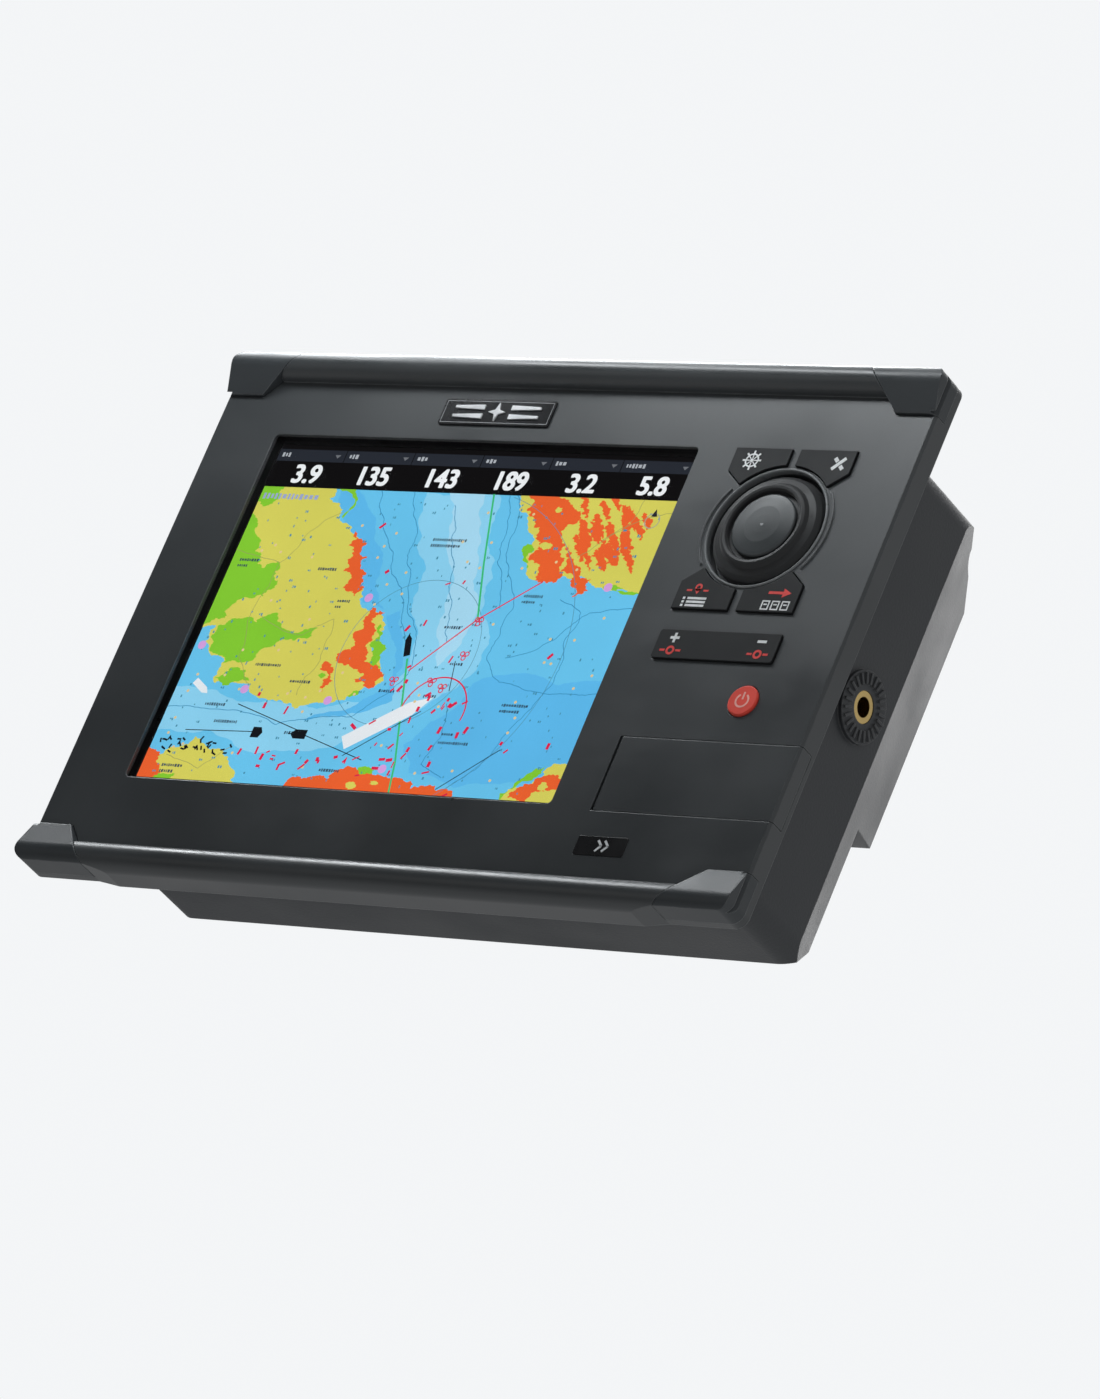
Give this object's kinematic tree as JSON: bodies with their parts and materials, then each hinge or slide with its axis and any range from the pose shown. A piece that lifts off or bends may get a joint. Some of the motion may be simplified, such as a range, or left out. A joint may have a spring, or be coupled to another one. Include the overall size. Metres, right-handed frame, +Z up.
{
  "type": "chartplotter display",
  "caption": "Panel-mounted marine chartplotter: wide bezel with rolled ridges, landscape screen, rotary knob, keys, card door and finned rear case with round sockets.",
  "frame": {"origin": "centre of the four panel screw holes, in the plane of the bezel's back that rests on the panel", "axes": "+X to the right of someone facing the screen, +Y through the panel away from them, +Z up the screen"},
  "size_m": [0.22, 0.077, 0.152],
  "materials": {
    "bezel_plastic": "satin charcoal, fine moulded grain",
    "clip_plastic": "satin charcoal",
    "gasket_foam": "closed-cell foam",
    "seal_rubber": "matt",
    "cover_glass": "polished, coated",
    "screen_picture": "lit liquid-crystal panel",
    "diffuser_plastic": "white",
    "plated_steel": "nickel plated",
    "trim_ring": "semi-gloss",
    "knob_plastic": "satin",
    "knob_cap_plastic": "satin grey",
    "knob_rubber": "soft, matt",
    "key_rubber": "matt black with printed marks",
    "power_key_rubber": "matt red",
    "keymat_rubber": "translucent grey",
    "circuit_board": "solder mask over glass-fibre laminate",
    "chip_plastic": "moulded",
    "nylon": "natural",
    "encoder_plastic": "moulded",
    "card_plastic": "moulded blue",
    "badge_black": "gloss",
    "badge_silver": "satin plated",
    "corner_badge_black": "gloss",
    "case_paint": "textured black powder coat on die-cast aluminium",
    "bare_aluminium": "extruded",
    "brass": "turned",
    "gold_contact": "gold flashed",
    "ribbon_film": "polyimide film",
    "plate_plastic": "moulded",
    "connector_plastic": "moulded nylon",
    "insert_plastic": "moulded",
    "cap_rubber": "matt",
    "vent_plastic": "moulded",
    "label_foil": "satin foil, blank"
  },
  "bodies": {
    "chassis": {"front_bezel": "bezel_plastic", "panel_gasket": "gasket_foam", "glass_gasket": "seal_rubber", "cover_glass": "cover_glass", "lcd_panel": "screen_picture", "backlight": "diffuser_plastic", "lcd_tray": "plated_steel", "knob_surround_ring": "trim_ring", "encoder_body": "encoder_plastic", "shaft_seal": "seal_rubber", "keymat": "keymat_rubber", "keypad_board": "circuit_board", "card_door_pin": "plated_steel", "card_door_seal": "seal_rubber", "card_reader": "plated_steel", "badge_plate": "badge_black", "badge_emblem": "badge_silver", "corner_badge": "corner_badge_black", "rear_case": "case_paint", "case_seal": "seal_rubber", "case_screws": "plated_steel", "main_board": "circuit_board", "board_chips": "chip_plastic", "heat_spreader": "bare_aluminium", "board_standoffs": "brass", "chassis_screws": "plated_steel", "lcd_ribbon": "ribbon_film", "keypad_ribbon": "ribbon_film", "connector_plate": "plate_plastic", "power_connector": "connector_plastic", "data_bus_connector": "connector_plastic", "network_connector": "connector_plastic", "video_connector": "connector_plastic", "sonar_connector": "connector_plastic", "connector_inserts": "insert_plastic", "contact_pins": "gold_contact", "bracket_inserts": "brass", "vent_plug": "vent_plastic", "rating_label": "label_foil"},
    "knob_plunger": {"encoder_plunger": "nylon"},
    "knob": {"knob_core": "knob_plastic", "knob_grip": "knob_rubber", "knob_cap": "knob_cap_plastic", "encoder_shaft": "plated_steel"},
    "autopilot_button": {"autopilot_key": "key_rubber"},
    "exit_button": {"exit_key": "key_rubber"},
    "menu_button": {"menu_key": "key_rubber"},
    "pages_button": {"pages_key": "key_rubber"},
    "zoom_carrier": {"zoom_key_carrier": "nylon", "zoom_key_pin": "plated_steel"},
    "zoom_rocker": {"zoom_key": "key_rubber"},
    "power_button": {"power_key": "power_key_rubber"},
    "door": {"card_door": "bezel_plastic"},
    "card": {"chart_card": "card_plastic"},
    "clip_top_left": {"corner_clip_top_left": "clip_plastic"},
    "clip_top_right": {"corner_clip_top_right": "clip_plastic"},
    "clip_bottom_left": {"corner_clip_bottom_left": "clip_plastic"},
    "clip_bottom_right": {"corner_clip_bottom_right": "clip_plastic"},
    "network_cap": {"network_dust_cap": "cap_rubber"},
    "sonar_cap": {"sonar_dust_cap": "cap_rubber"}
  },
  "joints": [
    {"name": "knob_push", "type": "slide", "parent": "chassis", "child": "knob_plunger", "axis": [0, 1, 0], "range_m": [0, 0.0005], "stiffness_N_per_m": 1500, "springref_m": -0.0005},
    {"name": "knob_turn", "type": "hinge", "parent": "knob_plunger", "child": "knob", "pos_m": [0.074, 0, 0.0302], "axis": [0, 1, 0], "continuous": true},
    {"name": "autopilot_press", "type": "slide", "parent": "chassis", "child": "autopilot_button", "axis": [0, 1, 0], "range_m": [0, 0.0006], "stiffness_N_per_m": 1500, "springref_m": -0.0005},
    {"name": "exit_press", "type": "slide", "parent": "chassis", "child": "exit_button", "axis": [0, 1, 0], "range_m": [0, 0.0006], "stiffness_N_per_m": 1500, "springref_m": -0.0005},
    {"name": "menu_press", "type": "slide", "parent": "chassis", "child": "menu_button", "axis": [0, 1, 0], "range_m": [0, 0.0006], "stiffness_N_per_m": 1500, "springref_m": -0.0005},
    {"name": "pages_press", "type": "slide", "parent": "chassis", "child": "pages_button", "axis": [0, 1, 0], "range_m": [0, 0.0006], "stiffness_N_per_m": 1500, "springref_m": -0.0005},
    {"name": "power_press", "type": "slide", "parent": "chassis", "child": "power_button", "axis": [0, 1, 0], "range_m": [0, 0.0006], "stiffness_N_per_m": 1500, "springref_m": -0.0005},
    {"name": "zoom_press", "type": "slide", "parent": "chassis", "child": "zoom_carrier", "axis": [0, 1, 0], "range_m": [0, 0.0005], "stiffness_N_per_m": 1500, "springref_m": -0.0005},
    {"name": "zoom_tilt", "type": "hinge", "parent": "zoom_carrier", "child": "zoom_rocker", "pos_m": [0.074, -0.0026, -0.0032], "axis": [0, 0, 1], "range_deg": [-2, 2], "stiffness_Nm_per_rad": 0.5},
    {"name": "door_hinge", "type": "hinge", "parent": "chassis", "child": "door", "pos_m": [0.0578, -0.005, -0.03905], "axis": [0, 0, -1], "range_deg": [0, 95]},
    {"name": "card_slide", "type": "slide", "parent": "chassis", "child": "card", "axis": [0, -1, 0], "range_m": [-0.0008, 0.004]},
    {"name": "top_left_clip_pull", "type": "slide", "parent": "chassis", "child": "clip_top_left", "axis": [0, -1, 0], "range_m": [0, 0.012]},
    {"name": "top_right_clip_pull", "type": "slide", "parent": "chassis", "child": "clip_top_right", "axis": [0, -1, 0], "range_m": [0, 0.012]},
    {"name": "bottom_left_clip_pull", "type": "slide", "parent": "chassis", "child": "clip_bottom_left", "axis": [0, -1, 0], "range_m": [0, 0.012]},
    {"name": "bottom_right_clip_pull", "type": "slide", "parent": "chassis", "child": "clip_bottom_right", "axis": [0, -1, 0], "range_m": [0, 0.012]},
    {"name": "network_cap_pull", "type": "slide", "parent": "chassis", "child": "network_cap", "axis": [0, 1, 0], "range_m": [0, 0.016]},
    {"name": "sonar_cap_pull", "type": "slide", "parent": "chassis", "child": "sonar_cap", "axis": [0, 1, 0], "range_m": [0, 0.016]}
  ]
}
